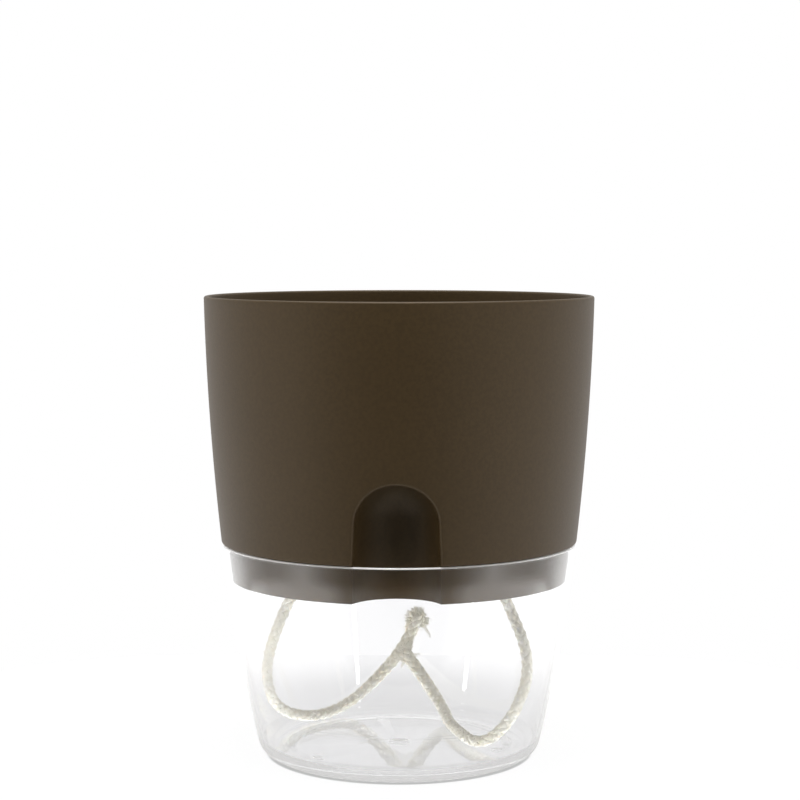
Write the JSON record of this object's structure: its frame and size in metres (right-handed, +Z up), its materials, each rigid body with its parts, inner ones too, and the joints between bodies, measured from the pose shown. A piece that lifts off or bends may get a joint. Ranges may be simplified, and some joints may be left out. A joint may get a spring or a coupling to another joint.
{
  "type": "self-watering cachepot",
  "caption": "Tapered round planter with an arched filling niche, nested in a clear water tank, with a cotton rope wick hanging from the planter's floor into the tank.",
  "frame": {"origin": "on the ground under the middle of the water tank", "axes": "+Z up along the axis of the pot and the tank, -Y towards the filling niche at the front, +X to the right of someone who looks at the niche"},
  "size_m": [0.1304, 0.1304, 0.1547],
  "materials": {
    "clear_tank": "clear polished",
    "brown_pot": "fine matt texture",
    "cotton_rope": "twisted natural cotton"
  },
  "bodies": {
    "tank": {"water_tank": "clear_tank"},
    "planter": {"planter_pot": "brown_pot", "wick_bridge": "cotton_rope", "wick_tail_left": "cotton_rope", "wick_tail_right": "cotton_rope"}
  },
  "joints": [
    {"name": "pot_lift", "type": "slide", "parent": "tank", "child": "planter", "axis": [0, 0, 1], "range_m": [0, 0.08]}
  ]
}
